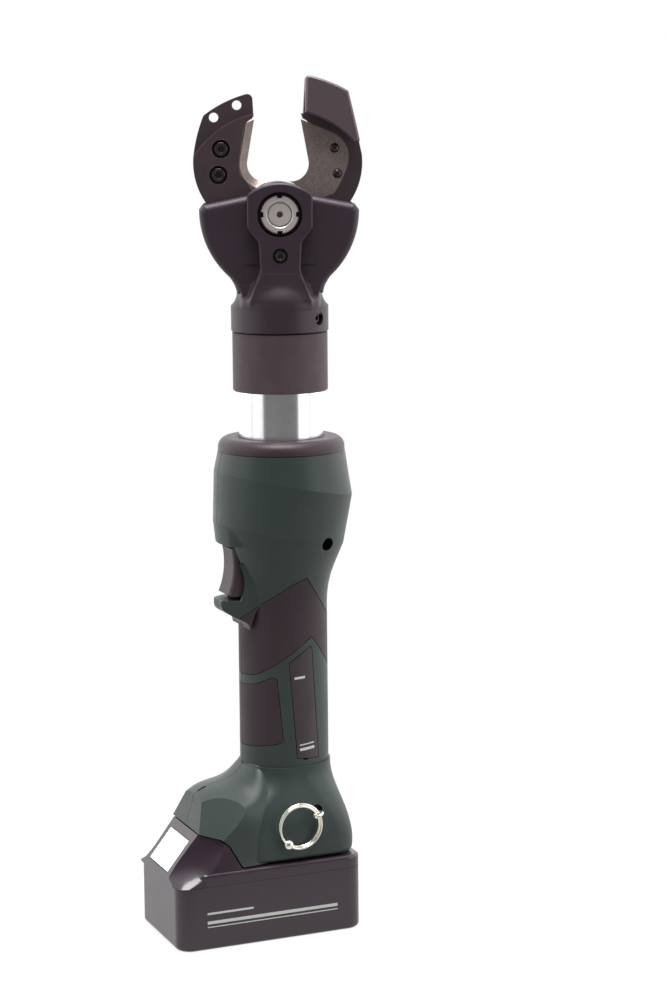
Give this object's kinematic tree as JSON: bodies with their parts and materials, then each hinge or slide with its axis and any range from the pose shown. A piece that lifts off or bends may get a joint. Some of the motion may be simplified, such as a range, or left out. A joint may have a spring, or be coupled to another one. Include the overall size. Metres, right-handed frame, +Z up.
{
  "type": "cordless conductor cutter",
  "caption": "Battery hydraulic cable cutter: upright grip on a slide-on battery, swivelling head with curved shear jaws driven by a ram and cam, trigger, lanyard ring.",
  "frame": {"origin": "where the tool's axis, through the cylinder tube and the jaw pivot, meets the flat underside of the battery", "axes": "+Z up along the tool's axis from battery to jaws; -X the way the trigger and the battery's release button face; -Y the left side, with the lanyard ring"},
  "size_m": [0.1285, 0.0778, 0.4898],
  "materials": {
    "housing_plastic": "moulded satin grain",
    "grip_rubber": "fine matt grain",
    "nose_plastic": "satin",
    "label_film": "printed satin film",
    "lamp_lens": "clear moulded lens",
    "black_steel": "black oxide, satin",
    "blade_steel": "hardened, ground edge",
    "grey_steel": "machined",
    "screw_steel": "black oxide",
    "bright_tube": "fine turned",
    "seal_rubber": "smooth",
    "spring_steel": "drawn wire",
    "pump_aluminium": "machined",
    "motor_steel": "zinc plated",
    "inner_plastic": "moulded",
    "board_plastic": "potted board",
    "brass_contact": "plated strip",
    "ring_nickel": "nickel plated wire",
    "battery_plastic": "moulded satin",
    "button_plastic": "moulded gloss",
    "cell_can": "sleeved cell"
  },
  "bodies": {
    "handle": {"left_shell": "housing_plastic", "right_shell": "housing_plastic", "grip_band_left": "grip_rubber", "grip_band_right": "grip_rubber", "front_pad_left": "grip_rubber", "front_pad_right": "grip_rubber", "label_plate": "label_film", "housing_screws": "screw_steel", "nose_ring": "nose_plastic", "toe_lamp": "lamp_lens", "cylinder_tube": "bright_tube", "retaining_ring": "spring_steel", "rod_guide": "brass_contact", "ram_spring": "spring_steel", "pump_block": "pump_aluminium", "oil_bladder": "seal_rubber", "gear_unit": "motor_steel", "motor": "motor_steel", "trigger_switch": "inner_plastic", "trigger_pin": "grey_steel", "control_board": "board_plastic", "terminal_block": "inner_plastic", "terminal_blades": "brass_contact", "ring_eye": "ring_nickel"},
    "head": {"head_yoke": "black_steel", "pivot_bolt": "grey_steel", "pivot_nut": "grey_steel", "rib_screws": "screw_steel", "neck_screws": "screw_steel", "swivel_collar": "black_steel"},
    "tongue_jaw": {"tongue_jaw": "black_steel", "tongue_blade": "blade_steel", "tongue_blade_screws": "screw_steel"},
    "guide_jaw": {"guide_jaw": "black_steel", "guide_blade": "blade_steel", "guide_blade_screws": "screw_steel"},
    "ram": {"ram_rod": "grey_steel", "drive_pin": "grey_steel", "ram_piston": "grey_steel", "piston_seal": "seal_rubber"},
    "trigger": {"trigger": "inner_plastic"},
    "battery": {"battery_case": "battery_plastic", "battery_top": "battery_plastic", "battery_cells": "cell_can", "battery_contacts": "brass_contact", "battery_screws": "screw_steel", "button_spring": "spring_steel"},
    "battery_button": {"battery_button": "button_plastic"},
    "lanyard": {"lanyard_ring": "ring_nickel", "ring_bead": "ring_nickel"},
    "pump_drive": {"eccentric_shaft": "grey_steel"},
    "pump_plunger": {"pump_plunger": "grey_steel"}
  },
  "joints": [
    {"name": "head_swivel", "type": "hinge", "parent": "handle", "child": "head", "pos_m": [0, 0, 0.33], "axis": [0, 0, 1], "range_deg": [-175, 175]},
    {"name": "ram_stroke", "type": "slide", "parent": "head", "child": "ram", "axis": [0, 0, 1], "range_m": [0, 0.013], "stiffness_N_per_m": 2000, "springref_m": -0.01, "deforming": ["ram_spring"]},
    {"name": "tongue_close", "type": "hinge", "parent": "head", "child": "tongue_jaw", "pos_m": [0, 0, 0.4135], "axis": [0.342, 0.9397, 0], "range_deg": [0, 37]},
    {"name": "guide_close", "type": "hinge", "parent": "head", "child": "guide_jaw", "pos_m": [0, 0, 0.4135], "axis": [-0.342, -0.9397, 0], "range_deg": [0, 37]},
    {"name": "trigger_pull", "type": "hinge", "parent": "handle", "child": "trigger", "pos_m": [-0.026, 0, 0.221], "axis": [0, -1, 0], "range_deg": [0, 9], "stiffness_Nm_per_rad": 0.8, "springref_deg": -6.88},
    {"name": "battery_slide", "type": "slide", "parent": "handle", "child": "battery", "axis": [-1, 0, 0], "range_m": [0, 0.1]},
    {"name": "button_press", "type": "slide", "parent": "battery", "child": "battery_button", "axis": [0, 0, -1], "range_m": [0, 0.003], "stiffness_N_per_m": 800, "springref_m": -0.003, "deforming": ["button_spring"]},
    {"name": "ring_swing", "type": "hinge", "parent": "handle", "child": "lanyard", "pos_m": [0.00575, -0.0361, 0.07163], "axis": [-0.454, 0, 0.891], "range_deg": [0, 120]},
    {"name": "pump_turn", "type": "hinge", "parent": "handle", "child": "pump_drive", "pos_m": [0, 0, 0.19], "axis": [0, 0, 1], "continuous": true},
    {"name": "plunger_stroke", "type": "slide", "parent": "handle", "child": "pump_plunger", "axis": [1, 0, 0], "range_m": [0, 0.0016], "stiffness_N_per_m": 500, "springref_m": -0.002}
  ],
  "couplings": [
    {"joint": "tongue_close", "follows": "ram_stroke", "rad_per_m": 49.67},
    {"joint": "guide_close", "follows": "ram_stroke", "rad_per_m": 49.67}
  ]
}
